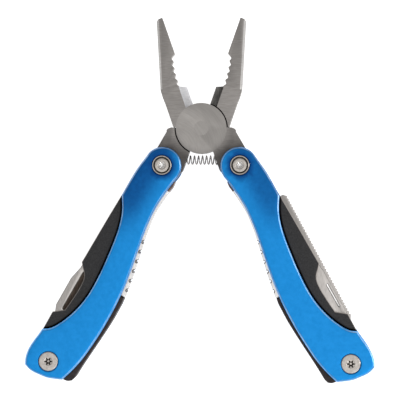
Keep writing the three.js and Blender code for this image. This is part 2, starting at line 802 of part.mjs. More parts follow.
const handleParts = handlePieces();
const pivot = turnedOpen(foldPivot);
for (const [side, hand] of Object.entries(bothSides)) {
  const handle = new THREE.Group();
  handle.position.set(hand * pivot.x, pivot.y, 0);
  handle.rotation.z = radians(-90 + hand * handleSplay[side]);
  const facing = (shape) => (hand < 0 ? shape.mirror([0, 1, 0]) : shape);
  for (const [name, [finish, shape]] of Object.entries(handleParts)) {
    handle.add(part(`${side}_${name}`, finish, facing(shape)));
  }
  for (const [name, make] of toolSets[side]) {
    handle.add(part(name, 'brightSteel', facing(make())));
  }
  tool.add(handle);
}

const group = new THREE.Group();
group.add(tool);
const extent = new THREE.Box3().setFromObject(group, true);
const middle = extent.getCenter(new THREE.Vector3());
tool.position.set(-middle.x, -middle.y, -extent.min.z);

export default group;
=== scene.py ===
import json
import math

import bmesh
import bpy
import numpy as np
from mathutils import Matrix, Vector
from mathutils.geometry import delaunay_2d_cdt


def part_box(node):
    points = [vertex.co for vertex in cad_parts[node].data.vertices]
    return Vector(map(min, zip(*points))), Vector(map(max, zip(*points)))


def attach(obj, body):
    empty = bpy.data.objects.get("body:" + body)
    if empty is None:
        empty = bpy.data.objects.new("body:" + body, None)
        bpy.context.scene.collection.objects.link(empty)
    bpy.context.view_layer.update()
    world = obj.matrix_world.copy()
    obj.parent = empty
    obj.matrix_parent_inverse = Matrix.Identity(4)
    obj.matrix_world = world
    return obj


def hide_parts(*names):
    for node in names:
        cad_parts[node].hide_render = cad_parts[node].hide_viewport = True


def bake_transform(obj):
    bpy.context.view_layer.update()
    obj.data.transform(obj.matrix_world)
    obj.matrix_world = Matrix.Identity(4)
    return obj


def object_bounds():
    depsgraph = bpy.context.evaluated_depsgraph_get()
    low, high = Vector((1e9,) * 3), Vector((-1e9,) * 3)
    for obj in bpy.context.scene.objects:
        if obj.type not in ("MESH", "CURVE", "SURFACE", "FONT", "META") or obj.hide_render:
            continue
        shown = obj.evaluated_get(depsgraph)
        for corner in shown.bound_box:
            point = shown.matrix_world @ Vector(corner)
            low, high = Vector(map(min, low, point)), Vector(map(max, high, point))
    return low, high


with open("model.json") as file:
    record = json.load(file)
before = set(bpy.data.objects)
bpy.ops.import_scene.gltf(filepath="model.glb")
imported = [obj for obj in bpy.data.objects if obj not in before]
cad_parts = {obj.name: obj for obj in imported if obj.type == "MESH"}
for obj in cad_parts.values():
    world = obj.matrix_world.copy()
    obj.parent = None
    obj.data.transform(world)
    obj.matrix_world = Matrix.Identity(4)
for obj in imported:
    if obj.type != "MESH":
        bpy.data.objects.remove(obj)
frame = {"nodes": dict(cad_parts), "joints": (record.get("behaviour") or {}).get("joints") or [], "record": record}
cad_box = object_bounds()

MM = 0.001
SIDES = ("left", "right")
FACES = {"front": 1, "rear": -1}
JOINTS = {joint["name"]: joint for joint in frame["joints"]}
BODY_OF = {
    node: body
    for body, nodes in frame["record"]["behaviour"]["bodies"].items()
    for node in nodes
}
SLOT_OF = {row["node"]: row["material_slot"] for row in frame["record"]["subparts"]}


def joint_place(name):
    """Where a joint's axis crosses the plan, in millimetres."""
    return np.array(JOINTS[name]["pos_m"][:2]) / MM


def extent(node):
    """The low and high corners of a CAD node's box, in millimetres."""
    low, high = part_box(node)
    return np.array(low) / MM, np.array(high) / MM


JAW_CENTRE = joint_place("jaw_pivot")
PIVOTS = {side: joint_place(f"{side}_handle_fold") for side in SIDES}
AXLES = {"left": joint_place("knife_fold"), "right": joint_place("saw_fold")}
DISC_RADIUS = 9.9
USUAL_RANGE = (0.3, 0.7)  # what most of a noise pattern's values lie between


# ---------------------------------------------------------------- materials


def add(tree, kind, links=None, **settings):
    """Adds a node. Links are input name to socket; the other settings are input values or node properties."""
    made = tree.nodes.new(kind)
    for name, value in settings.items():
        if hasattr(made, name):
            setattr(made, name, value)
        else:
            made.inputs[name.replace("_", " ")].default_value = value
    for name, source in (links or {}).items():
        tree.links.new(source, made.inputs[name])
    return made


def noise(tree, per_metre, detail):
    """A noise with its own number of features per metre along X, Y and Z of the part."""
    place = add(tree, "ShaderNodeTexCoord")
    scaled = add(tree, "ShaderNodeMapping", {"Vector": place.outputs["Object"]}, Scale=per_metre)
    made = add(
        tree, "ShaderNodeTexNoise", {"Vector": scaled.outputs["Vector"]},
        Scale=1.0, Detail=detail,
    )
    return made.outputs["Fac"]


def grain(tree, per_metre, detail):
    """A noise that is equally fine every way."""
    return noise(tree, (per_metre, per_metre, per_metre), detail)


def spread(tree, source, low, high, start=USUAL_RANGE[0], end=USUAL_RANGE[1]):
    """Maps a pattern's usual range onto another range."""
    made = add(tree, "ShaderNodeMapRange", {"Value": source})
    made.inputs["From Min"].default_value = start
    made.inputs["From Max"].default_value = end
    made.inputs["To Min"].default_value = low
    made.inputs["To Max"].default_value = high
    return made.outputs["Result"]


def between(tree, factor, dark, light):
    """A colour between two, by a pattern."""
    made = add(tree, "ShaderNodeValToRGB", {"Fac": factor})
    for stop, colour, position in zip(made.color_ramp.elements, (dark, light), USUAL_RANGE):
        stop.color = (*colour, 1)
        stop.position = position
    return made.outputs["Color"]


def blended(tree, factor, first, second):
    """One colour where the factor is 0 and the other where it is 1. The second may be a socket or a value."""
    made = add(tree, "ShaderNodeMixRGB", {"Fac": factor, "Color1": first})
    if isinstance(second, tuple):
        made.inputs["Color2"].default_value = (*second, 1)
    else:
        tree.links.new(second, made.inputs["Color2"])
    return made.outputs["Color"]


def bumped(tree, pattern, depth, strength=0.5):
    """A normal from a height pattern of the given depth in millimetres."""
    made = add(tree, "ShaderNodeBump", {"Height": pattern}, Strength=strength, Distance=depth * MM)
    return made.outputs["Normal"]


def material(name, colour, roughness, normal, **sockets):
    """A principled material. Its colour, roughness and normal each take the tree and give a socket."""
    made = bpy.data.materials.new(name)
    made.use_nodes = True
    tree = made.node_tree
    shader = tree.nodes["Principled BSDF"]
    for socket, value in sockets.items():
        shader.inputs[socket.replace("_", " ")].default_value = value
    tree.links.new(colour(tree), shader.inputs["Base Color"])
    tree.links.new(roughness(tree), shader.inputs["Roughness"])
    tree.links.new(normal(tree), shader.inputs["Normal"])
    return made


def attribute(tree, name):
    """A value stored on the points of a mesh."""
    return add(tree, "ShaderNodeAttribute", attribute_name=name).outputs["Fac"]


def near_edge(tree, width):
    """1 at a slab's outline, falling to 0 at a distance inside it."""
    return spread(tree, attribute(tree, "edge"), 1, 0, 0, width)


def eased(tree, source, start, end, low, high):
    """A value that eases from low to high as a length grows from start to end, in millimetres."""
    made = add(tree, "ShaderNodeMapRange", {"Value": source}, interpolation_type="SMOOTHSTEP")
    made.inputs["From Min"].default_value = start * MM
    made.inputs["From Max"].default_value = end * MM
    made.inputs["To Min"].default_value = low
    made.inputs["To Max"].default_value = high
    return made.outputs["Result"]


def height(tree):
    """How far up the tool's plan a point lies: its Y."""
    place = add(tree, "ShaderNodeTexCoord")
    return add(tree, "ShaderNodeSeparateXYZ", {0: place.outputs["Object"]}).outputs["Y"]


def offset_from(tree, centre):
    """A point's plan offset from a centre."""
    place = add(tree, "ShaderNodeTexCoord").outputs["Object"]
    offset = add(tree, "ShaderNodeVectorMath", {0: place}, operation="SUBTRACT")
    offset.inputs[1].default_value = (*(centre * MM), 0)
    flat = add(tree, "ShaderNodeVectorMath", {0: offset.outputs[0]}, operation="MULTIPLY")
    flat.inputs[1].default_value = (1, 1, 0)
    return flat.outputs[0]


def length_of(tree, vector):
    """A vector's length."""
    return add(tree, "ShaderNodeVectorMath", {0: vector}, operation="LENGTH").outputs["Value"]


def times(tree, first, second):
    """The product of two values."""
    return add(tree, "ShaderNodeMath", {0: first, 1: second}, operation="MULTIPLY").outputs["Value"]


def steel(name, dark, light, roughness, scratches, depth):
    """Worked steel, with long fine scratches and a faint cloudy tone."""

    def colour(tree):
        fine = between(tree, noise(tree, scratches, 4), dark, light)
        return blended(tree, spread(tree, noise(tree, CLOUDS, 2), 0, 0.22), fine, dark)

    return material(
        name,
        colour,
        lambda tree: spread(tree, noise(tree, CLOUDS, 2), *roughness),
        lambda tree: bumped(tree, noise(tree, scratches, 5), depth),
        Metallic=1.0,
    )


def arcs(tree):
    """Fine arcs about the place where the grinding wheel stood, which cross the disc and its pin alike."""
    per_mm = 3.2
    wheel = JAW_CENTRE + (-13, -9)
    round_the_wheel = 3.0  # features per radian
    offset = offset_from(tree, wheel)
    direction = add(tree, "ShaderNodeVectorMath", {0: offset}, operation="NORMALIZE")
    turn = add(
        tree, "ShaderNodeVectorMath", {0: direction.outputs[0]},
        operation="SCALE", Scale=round_the_wheel,
    )
    split = add(tree, "ShaderNodeSeparateXYZ", {0: turn.outputs[0]})
    outwards = add(tree, "ShaderNodeMath", {0: length_of(tree, offset)}, operation="MULTIPLY")
    outwards.inputs[1].default_value = per_mm / MM
    around = add(
        tree, "ShaderNodeCombineXYZ",
        {"X": split.outputs["X"], "Y": split.outputs["Y"], "Z": outwards.outputs["Value"]},
    )
    made = add(tree, "ShaderNodeTexNoise", {"Vector": around.outputs["Vector"]}, Scale=1.0, Detail=4.0)
    return made.outputs["Fac"]


def ground_steel():
    """The plier head: brushed across the jaws, ground in arcs over the lap joint, with painted shade darkening the
    tangs downwards and away from the pivot.
    """
    disc_edge = (DISC_RADIUS - 0.1, DISC_RADIUS + 0.1)
    tang_heights = (16, 33)  # painted shade is heaviest at the first and gone at the second
    shade_starts = (7.5, 13)  # distances from the pivot over which the painted shade sets in
    most_shade = 0.85

    def colour(tree):
        brushed = between(tree, noise(tree, CROSSWAYS, 4), (0.26, 0.243, 0.23), (0.38, 0.358, 0.34))
        ground = between(tree, arcs(tree), (0.34, 0.321, 0.304), (0.4, 0.379, 0.36))
        from_pivot = length_of(tree, offset_from(tree, JAW_CENTRE))
        face = blended(tree, eased(tree, from_pivot, *disc_edge, 1, 0), brushed, ground)
        # painted shade down the tangs, heaviest low and far from the pivot
        below = eased(tree, height(tree), *tang_heights, most_shade, 0)
        beside = eased(tree, from_pivot, *shade_starts, 0, 1)
        return blended(tree, times(tree, below, beside), face, TANG_SHADE_COLOUR)

    return material(
        "ground_steel",
        colour,
        lambda tree: spread(tree, noise(tree, CLOUDS, 2), 0.38, 0.5),
        lambda tree: bumped(tree, noise(tree, CROSSWAYS, 5), 0.006, 0.4),
        Metallic=1.0,
    )


def blue_anodised():
    """Satin blue anodising, with a painted highlight line along its rounded edge. A point attribute paints shade
    on it, drawing the blue in a shaded copy where it is high.
    """

    def colour(tree):
        fine = grain(tree, 700, 4)
        light = between(tree, fine, (0.009, 0.25, 0.66), (0.014, 0.286, 0.735))
        # a shaded copy of the blue, laid on as painted shade where the point attribute says
        shaded_blue = between(tree, fine, (0.0002, 0.042, 0.2), (0.0005, 0.06, 0.26))
        body = blended(tree, attribute(tree, "painted_blue_shade"), light, shaded_blue)
        edge = attribute(tree, "edge")
        # painted highlight: a pale line just inside the rounded edge, patchy along it
        line = times(tree, spread(tree, edge, 0, 1, 0.1, 0.3), spread(tree, edge, 1, 0, 0.45, 0.7))
        painted_edge_highlight = times(tree, line, spread(tree, noise(tree, CLOUDS, 2), 0.2, 0.75))
        return blended(tree, painted_edge_highlight, body, (0.5, 0.74, 1.0))

    return material(
        "blue_anodised",
        colour,
        lambda tree: spread(tree, grain(tree, 900, 3), 0.32, 0.42),
        lambda tree: bumped(tree, grain(tree, 9000, 2), 0.01, 0.3),
        Metallic=0.93,
        Coat_Weight=0.06,
        Coat_Roughness=0.25,
    )


def sheltered(tree):
    """Painted shadow: 1 where a plate's edge stands right over a point of the one below, falling to 0 beside it.
    """
    return spread(tree, attribute(tree, "shelter"), 0, 1, 0.1, 0.6)


def black_steel():
    """Fine black coating with a lighter brownish-grey rim along its edge, part wear and part painted highlight.
    Painted shadow darkens it beside the edge of a plate lying on it.
    """

    def colour(tree):
        base = between(tree, grain(tree, 3500, 3), (0.008, 0.008, 0.0085), (0.036, 0.035, 0.037))
        # a lighter brownish-grey rim along the edge: part wear, part painted highlight
        rim = spread(tree, near_edge(tree, 0.3), 0, 0.8, 0, 1)
        worn_and_highlit = blended(tree, rim, base, (0.45, 0.4, 0.37))
        # painted shadow beside the edge of the plate lying on this one
        return blended(tree, sheltered(tree), worn_and_highlit, (0.0004, 0.0004, 0.0006))

    made = material(
        "black_steel",
        colour,
        lambda tree: spread(tree, grain(tree, 1200, 2), 0.42, 0.58),
        lambda tree: bumped(tree, grain(tree, 6000, 2), 0.02, 0.5),
        Metallic=0.2,
    )
    tree = made.node_tree
    # less specular shine within the painted shadow
    specular_in_shadow = spread(tree, sheltered(tree), 0.42, 0, 0, 1)
    tree.links.new(specular_in_shadow, tree.nodes["Principled BSDF"].inputs["Specular IOR Level"])
    return made


def black_plastic():
    """Moulded nylon with a sparkled surface."""
    return material(
        "black_plastic",
        lambda tree: between(tree, grain(tree, 700, 2), (0.017, 0.011, 0.01), (0.042, 0.03, 0.029)),
        lambda tree: spread(tree, grain(tree, 2500, 2), 0.5, 0.68),
        lambda tree: bumped(tree, grain(tree, 4200, 2), 0.05, 0.6),
        Specular_IOR_Level=0.35,
    )


# the colour of the painted shade down the tangs
TANG_SHADE_COLOUR = (0.06, 0.055, 0.052)

# Features per metre along X, Y and Z
CLOUDS = (200, 200, 200)
CROSSWAYS = (350, 7000, 350)
LENGTHWAYS = (5200, 500, 5200)
UPRIGHT = (6500, 300, 300)
ALL_WAYS = (1500, 1500, 1500)

# Each steel's darkest and lightest colour, roughness, scratches and their depth
GROUND_STEEL = ground_steel()
# the front cutter's steel, lightened as a painted highlight
HIGHLIT_CUTTER_STEEL = steel(
    "highlit_cutter_steel", (0.66, 0.66, 0.68), (0.84, 0.84, 0.86),
    (0.42, 0.55), CROSSWAYS, 0.008,
)
# lighter and smoother than the head: partly a real finish, partly a painted highlight along the chamfers
CHAMFER_STEEL = steel(
    "chamfer_steel", (0.3, 0.288, 0.278), (0.44, 0.428, 0.418),
    (0.3, 0.42), CROSSWAYS, 0.008,
)
# near-white steel that paints a highlight on recess floors and a groove floor
PAINTED_HIGHLIGHT_STEEL = steel(
    "painted_highlight_steel", (0.8, 0.78, 0.76), (0.98, 0.97, 0.96),
    (0.12, 0.2), ALL_WAYS, 0.003,
)
# the rear cutter's steel, darkened as painted shade
SHADED_STEEL = steel(
    "shaded_steel", (0.02, 0.019, 0.017), (0.14, 0.135, 0.125),
    (0.3, 0.45), UPRIGHT, 0.01,
)
# near-black steel that paints the shade in the lap joint's pocket
POCKET_SHADE_STEEL = steel(
    "pocket_shade_steel", (0.004, 0.0035, 0.003), (0.014, 0.012, 0.011),
    (0.5, 0.65), ALL_WAYS, 0.004,
)
BLADE_STEEL = steel(
    "blade_steel", (0.45, 0.425, 0.4), (0.64, 0.605, 0.58),
    (0.3, 0.42), LENGTHWAYS, 0.006,
)
# dark steel that paints the shade in nail grooves and jimping notches
GROOVE_SHADE_STEEL = steel(
    "groove_shade_steel", (0.03, 0.022, 0.018), (0.085, 0.065, 0.052),
    (0.35, 0.5), LENGTHWAYS, 0.006,
)
# dark steel that paints the shade on blade bevels
BEVEL_SHADE_STEEL = steel(
    "bevel_shade_steel", (0.05, 0.046, 0.042), (0.12, 0.11, 0.1),
    (0.35, 0.5), LENGTHWAYS, 0.005,
)
# dark brown steel that paints the shade on the back spring's end nub
NUB_SHADE_STEEL = steel(
    "nub_shade_steel", (0.1, 0.062, 0.05), (0.26, 0.19, 0.165),
    (0.35, 0.5), ALL_WAYS, 0.006,
)
SPRING_STEEL = steel(
    "spring_steel", (0.7, 0.68, 0.66), (0.9, 0.88, 0.86),
    (0.25, 0.36), LENGTHWAYS, 0.005,
)
WIRE_STEEL = steel(
    "wire_steel", (0.4, 0.38, 0.365), (0.62, 0.59, 0.57),
    (0.22, 0.34), ALL_WAYS, 0.004,
)
FASTENER_STEEL = steel(
    "fastener_steel", (0.42, 0.39, 0.36), (0.6, 0.56, 0.52),
    (0.24, 0.36), ALL_WAYS, 0.006,
)
# dark steel that paints the shade in recesses and grooves
RECESS_SHADE_STEEL = steel(
    "recess_shade_steel", (0.03, 0.026, 0.022), (0.08, 0.07, 0.06),
    (0.3, 0.45), ALL_WAYS, 0.006,
)
BLUE = blue_anodised()
BLACK_STEEL = black_steel()
BLACK_PLASTIC = black_plastic()
LOOKS = {
    "ground_steel": GROUND_STEEL,
    "blade_steel": BLADE_STEEL,
    "fastener_steel": FASTENER_STEEL,
    "spring_steel": SPRING_STEEL,
    "blue_anodised": BLUE,
    "black_steel": BLACK_STEEL,
    "black_plastic": BLACK_PLASTIC,
}


# ---------------------------------------------------------------- making pieces

TOLERANCE = 1e-6  # metres, within which two points or two levels of a CAD mesh count as one
MERGE_DISTANCE = 1e-7  # metres, for the points of a mesh made here
PLAN_TOLERANCE = 1e-5  # for the points of a plate's triangulated face
EDGE_ANGLES = [math.radians(angle) for angle in (15, 30, 45, 60, 75, 90)]
GRID_PITCH = 2.2  # between the points on a plate's face
CROWN_WIDTH = 7  # how far in from its outline a crowned face slopes
SHADOW_PAINT_WIDTH = 1.1  # how far beside a covering plate's edge its painted shadow reaches
AWAY_FROM_EDGE = 5.0  # stands for a point inside a hole, away from any edge wear or painted edge highlight


def shaded(mesh, angle=32):
    """Smooth shading, broken at the edges sharper than an angle."""
    mesh.polygons.foreach_set("use_smooth", [True] * len(mesh.polygons))
    mesh.set_sharp_from_angle(angle=math.radians(angle))


def stand_in(node, mesh):
    """Links a mesh as the piece that stands for a CAD node, in that node's finish."""
    slot = SLOT_OF[node]
    mesh.materials.append(LOOKS[slot])
    made = bpy.data.objects.new(f"fine_{node}", mesh)
    bpy.context.scene.collection.objects.link(made)
    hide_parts(node)
    return made


def closed_mesh(name, vertices, faces, finishes=None, **values):
    """A mesh from millimetres, its faces turned outwards.

    finishes numbers each face's material, and values are named point attributes.
    """
    mesh = bpy.data.meshes.new(name)
    mesh.from_pydata((np.asarray(vertices, float) * MM).tolist(), [], faces)
    for key, value in values.items():
        mesh.attributes.new(key, "FLOAT", "POINT").data.foreach_set("value", np.asarray(value, np.float32))
    if finishes:
        mesh.polygons.foreach_set("material_index", finishes)
    body = bmesh.new()
    body.from_mesh(mesh)
    bmesh.ops.remove_doubles(body, verts=body.verts, dist=MERGE_DISTANCE)
    bmesh.ops.delete(body, geom=[v for v in body.verts if not v.link_faces], context="VERTS")
    bmesh.ops.recalc_face_normals(body, faces=body.faces)
    body.to_mesh(mesh)
    body.free()
    shaded(mesh)
    return mesh


def welded(node):
    """A CAD node's mesh as a bmesh with its split corners joined again."""
    body = bmesh.new()
    body.from_mesh(frame["nodes"][node].data)
    bmesh.ops.remove_doubles(body, verts=body.verts, dist=TOLERANCE)
    return body


def flat_outlines(node, up):
    """The outlines of a CAD node's highest (up 1) or lowest (up -1) flat face, the outer one first."""
    body = welded(node)
    level = max(up * v.co.z for v in body.verts)
    face = {f for f in body.faces if all(abs(up * v.co.z - level) < TOLERANCE for v in f.verts)}
    after = {}
    for f in face:
        for corner in f.loops:
            if sum(g in face for g in corner.edge.link_faces) == 1:
                after[corner.vert.index] = corner.link_loop_next.vert.index
    body.verts.ensure_lookup_table()
    loops = []
    while after:
        start, at = next(iter(after.items()))
        del after[start]
        loop = [start]
        while at != start:
            loop.append(at)
            at = after.pop(at)
        loops.append(np.array([body.verts[i].co.xy[:] for i in loop]) / MM)
    body.free()
    return sorted(loops, key=lambda loop: -np.ptp(loop, axis=0).sum())


def smoothed(loop, step=0.7, corner=24):
    """Splines through an outline's points, broken at its corners, so that its curves lose their facets."""
    leaving = np.roll(loop, -1, axis=0) - loop
    heading = np.arctan2(leaving[:, 1], leaving[:, 0])
    turn = np.abs((heading - np.roll(heading, 1) + np.pi) % (2 * np.pi) - np.pi)
    first = int(np.argmax(turn))
    loop, turn = np.roll(loop, -first, axis=0), np.roll(turn, -first)
    breaks = [*np.flatnonzero(turn > math.radians(corner)), len(loop)]
    if breaks[0] != 0:
        breaks.insert(0, 0)
    closed = np.vstack([loop, loop[:1]])
    made = []
    for start, end in zip(breaks, breaks[1:]):
        run = closed[start:end + 1]
        gaps = np.linalg.norm(np.diff(run, axis=0), axis=1)
        slopes = np.diff(run, axis=0) / gaps[:, None]
        tangents = np.vstack([slopes[:1], slopes])
        share = gaps[1:] / (gaps[:-1] + gaps[1:])
        tangents[1:-1] = slopes[:-1] * share[:, None] + slopes[1:] * (1 - share[:, None])
        tangents[-1] = slopes[-1]
        for i, gap in enumerate(gaps):
            t = np.arange(max(1, round(gap / step)))[:, None] / max(1, round(gap / step))
            made.append(
                (2 * t**3 - 3 * t**2 + 1) * run[i] + (t**3 - 2 * t**2 + t) * gap * tangents[i]
                + (3 * t**2 - 2 * t**3) * run[i + 1] + (t**3 - t**2) * gap * tangents[i + 1]
            )
    return np.vstack(made)


def circle(centre, radius, count=64):
    """The points of a circle, counterclockwise."""
    angles = np.arange(count) * 2 * np.pi / count
    return centre + radius * np.column_stack([np.cos(angles), np.sin(angles)])


def distance_to(points, loop):
    """The distance from each point to a closed outline."""
    along = np.roll(loop, -1, axis=0) - loop
    offset = points[:, None] - loop
    share = np.clip((offset * along).sum(2) / (along**2).sum(1), 0, 1)
    return np.linalg.norm(offset - share[..., None] * along, axis=2).min(1)


def inwards(loop, distance):
    """An outline's points moved the same distance off both of their edges, to the left of its direction."""
    along = np.roll(loop, -1, axis=0) - loop
    along /= np.linalg.norm(along, axis=1)[:, None]
    before = np.roll(along, 1, axis=0)
    normal = np.column_stack([-(along + before)[:, 1], (along + before)[:, 0]])
    normal /= np.linalg.norm(normal, axis=1)[:, None]
    facing = normal[:, 0] * -along[:, 1] + normal[:, 1] * along[:, 0]
    least_facing = 0.3  # keeps the points at sharp corners from running far off
    return loop + normal * (distance / np.maximum(facing, least_facing))[:, None]


def inside(points, loop):
    """Which points lie inside a closed outline."""
    after = np.roll(loop, -1, axis=0)
    x, y = points[:, :1], points[:, 1:]
    rise = np.where(after[:, 1] == loop[:, 1], 1, after[:, 1] - loop[:, 1])
    at = loop[:, 0] + (y - loop[:, 1]) * (after[:, 0] - loop[:, 0]) / rise
    passed = ((loop[:, 1] > y) != (after[:, 1] > y)) & (x < at)
    return passed.sum(1) % 2 == 1


def rounding(distance, radius):
    """How far a quarter-round edge lies below its face, at a distance in from the outline."""
    over_edge = np.clip(radius - distance, 0, radius)
    return radius - np.sqrt(radius**2 - over_edge**2)


def outer_outline(node, up, step=0.7):
    """A plate's smoothed outline, taken counterclockwise from the face away from its outer one."""
    outer = smoothed(flat_outlines(node, -up)[0], step)
    after = np.roll(outer, -1, axis=0)
    area = (outer[:, 0] * after[:, 1] - outer[:, 1] * after[:, 0]).sum()
    return outer if area > 0 else outer[::-1]


def edge_rings(outer, holes, edge_radius, hole_radius):
    """Points on the rounded edges of a plate, along its outline and round its (centre, radius) holes."""
    made = []
    for angle in EDGE_ANGLES:
        share = 1 - math.cos(angle)
        depth = edge_radius * share
        inner = inwards(outer, depth)
        in_place = distance_to(inner, outer) > depth * 0.97  # not crossed over at a tight corner
        made.append(inner[in_place])
        made += [circle(centre, radius + hole_radius * share) for centre, radius in holes]
    return made


def face_grid(outer, holes, edge_radius):
    """A grid of points over the flat of a plate's face, clear of its edges."""
    xs, ys = (np.arange(*limits, GRID_PITCH) for limits in zip(outer.min(0), outer.max(0)))
    grid = np.array(np.meshgrid(xs, ys)).reshape(2, -1).T
    clear = distance_to(grid, outer) > edge_radius + GRID_PITCH / 2
    for centre, radius in holes:
        clear &= np.linalg.norm(grid - centre, axis=1) > radius + GRID_PITCH / 2
    return grid[clear]


def cover_lines(outer, cover, edge_radius):
    """Points on a plate's face that follow the edge of the plate lying on it, where its painted shadow falls."""
    made = []
    for reach in (0.0, SHADOW_PAINT_WIDTH / 2, SHADOW_PAINT_WIDTH):
        line = inwards(cover, -reach)
        made.append(line[inside(line, outer) & (distance_to(line, outer) > edge_radius + 0.1)])
    return made


def sheltering(plan, cover):
    """Painted shadow: 1 under a covering plate, falling to 0 beside it."""
    beside = np.clip(1 - distance_to(plan, cover) / SHADOW_PAINT_WIDTH, 0, 1)
    return np.where(inside(plan, cover), 1, beside)


def slab(
    node, up, edge_radius, under_radius=0.0, hole_radius=0.15, crown=0.0, bores=None, step=0.7, cover=None,
):
    """A fine plate on a CAD node's outline: rounded edges, a slightly crowned face and round holes.

    up says which face is the outer one. bores gives, for each hole, the (radius, depth) of its steps.
    cover is the outline of a plate that lies on it, whose edge casts a painted shadow line on this one.
    """
    low, high = extent(node)
    top, bottom = (high[2], low[2]) if up > 0 else (-low[2], -high[2])
    outer = outer_outline(node, up, step)
    holes = []
    for loop in flat_outlines(node, -up)[1:]:
        centre = loop.mean(0)
        holes.append((centre, bores[0][0] if bores else np.linalg.norm(loop - centre, axis=1).max()))
    loops = [outer, *(circle(centre, radius) for centre, radius in holes)]
    starts = np.cumsum([0, *(len(loop) for loop in loops)]).tolist()
    points = [*loops, *edge_rings(outer, holes, edge_radius, hole_radius)]
    points.append(face_grid(outer, holes, edge_radius))
    if cover is not None:
        points += cover_lines(outer, cover, edge_radius)
    edges = []
    for start, loop in zip(starts, loops):
        edges += [(start + i, start + (i + 1) % len(loop)) for i in range(len(loop))]
    flat = delaunay_2d_cdt([Vector(point) for point in np.vstack(points)], edges, [], 2, PLAN_TOLERANCE)
    plan = np.array([point[:] for point in flat[0]])
    where = {given: made for made, several in enumerate(flat[3]) for given in several}

    to_outer = distance_to(plan, outer)
    drop = rounding(to_outer, edge_radius)
    drop += crown * np.clip(1 - to_outer / CROWN_WIDTH, 0, 1) ** 2
    for centre, radius in holes:
        drop += rounding(np.abs(np.linalg.norm(plan - centre, axis=1) - radius), hole_radius)
    under = rounding(to_outer, under_radius) if under_radius else np.zeros(len(plan))
    count = len(plan)
    upper_side = np.column_stack([plan, up * (top - drop)])
    lower_side = np.column_stack([plan, up * (bottom + under)])
    vertices = np.vstack([upper_side, lower_side])
    edge = np.concatenate([to_outer, np.zeros(count)])
    # painted shadow beside the covering plate's edge, kept as a point attribute
    shelter = np.zeros(2 * count)
    if cover is not None:
        shelter[:count] = sheltering(plan, cover)

    rims = [[where[start + i] for i in range(len(loop))] for start, loop in zip(starts, loops)]
    open_faces = [list(face) for face in flat[2] if not any(set(face) <= set(rim) for rim in rims[1:])]
    faces = open_faces + [[count + i for i in reversed(face)] for face in open_faces]
    for k, (loop, rim) in enumerate(zip(loops, rims)):
        rings = [rim]
        for radius, depth in (bores if k and bores else []):
            rings.append(list(range(len(vertices), len(vertices) + len(loop))))
            around = circle(holes[k - 1][0], radius)
            level = np.full(len(loop), up * (top - depth))
            vertices = np.vstack([vertices, np.column_stack([around, level])])
            edge = np.concatenate([edge, np.full(len(loop), AWAY_FROM_EDGE)])
            shelter = np.concatenate([shelter, np.zeros(len(loop))])
        rings.append([count + i for i in rim])
        for upper, lower in zip(rings, rings[1:]):
            for i in range(len(loop)):
                j = (i + 1) % len(loop)
                faces.append([upper[i], upper[j], lower[j], lower[i]])
    return stand_in(node, closed_mesh(f"fine_{node}", vertices, faces, edge=edge, shelter=shelter))


def refined(node, width, segments=2, angle=24):
    """A CAD node's own shape with its facets joined and its sharp edges rounded off."""
    body = welded(node)
    flat_within = math.radians(0.6)
    bmesh.ops.dissolve_limit(body, angle_limit=flat_within, verts=body.verts, edges=body.edges)
    mesh = bpy.data.meshes.new(f"fine_{node}")
    body.to_mesh(mesh)
    body.free()
    made = stand_in(node, mesh)
    bevel = made.modifiers.new("edges", "BEVEL")
    bevel.width = width * MM
    bevel.segments = segments
    bevel.limit_method = "ANGLE"
    bevel.angle_limit = math.radians(angle)
    bevel.use_clamp_overlap = True
    bpy.context.view_layer.update()
    made.data = bpy.data.meshes.new_from_object(made.evaluated_get(bpy.context.evaluated_depsgraph_get()))
    made.modifiers.clear()
    shaded(made.data)
    return made


def turned(node, centre, rings, count=72, lobes=6, dark=(), bright=()):
    """A round piece from rings of (radius, level) or (radius, level, lobe). It closes on itself or its axis.

    dark numbers the rings whose face towards the next ring gets painted shade, and bright those that get a painted
    highlight.
    """
    angles = np.arange(count) * 2 * np.pi / count
    vertices = []
    for radius, level, *lobe in rings:
        around = radius + (lobe[0] if lobe else 0) * np.cos(lobes * angles)
        vertices += list(np.column_stack([
            centre[0] + around * np.cos(angles), centre[1] + around * np.sin(angles), np.full(count, level),
        ]))
    faces, finishes = [], []
    hollow = rings[0][0] > 0
    for k in range(len(rings) if hollow else len(rings) - 1):
        after = (k + 1) % len(rings)
        for i in range(count):
            j = (i + 1) % count
            faces.append([k * count + i, k * count + j, after * count + j, after * count + i])
            finishes.append(1 if k in dark else 2 if k in bright else 0)
    made = stand_in(node, closed_mesh(f"fine_{node}", vertices, faces, finishes))
    # the painted shade and painted highlight finishes for those rings
    if dark or bright:
        made.data.materials.append(RECESS_SHADE_STEEL)
        made.data.materials.append(PAINTED_HIGHLIGHT_STEEL)
    return made


# ---------------------------------------------------------------- handles

BORE = 3.95  # radius of a counterbore
BORE_DEPTH = 1.4
BARREL_HOLE = 2.7  # radius of the hole that a barrel runs in
HEAD = 3.75  # radius of a screw's or barrel's head
HEAD_SEAT = BORE_DEPTH - 0.05
SCALE_DEPTH = 2.2
THREAD = 1.6  # radius of a screw's shank
RECESS = {"radius": 1.15, "lobe": 0.38, "depth": 1.2}
# how dark the painted shade on each handle's blue is
PAINTED_SHADE_STRENGTH = {"left": 0.8, "right": 0.65}
NOTCH = {"count": 6, "pitch": 3.9, "start": (29.5, -8.6), "slope": -0.206, "radius": 0.5}
NUB_END = 7.6  # s where the back spring's end nub stops
AXLE_FAR = 40  # s that tells the pivot's end of a handle from the axle's


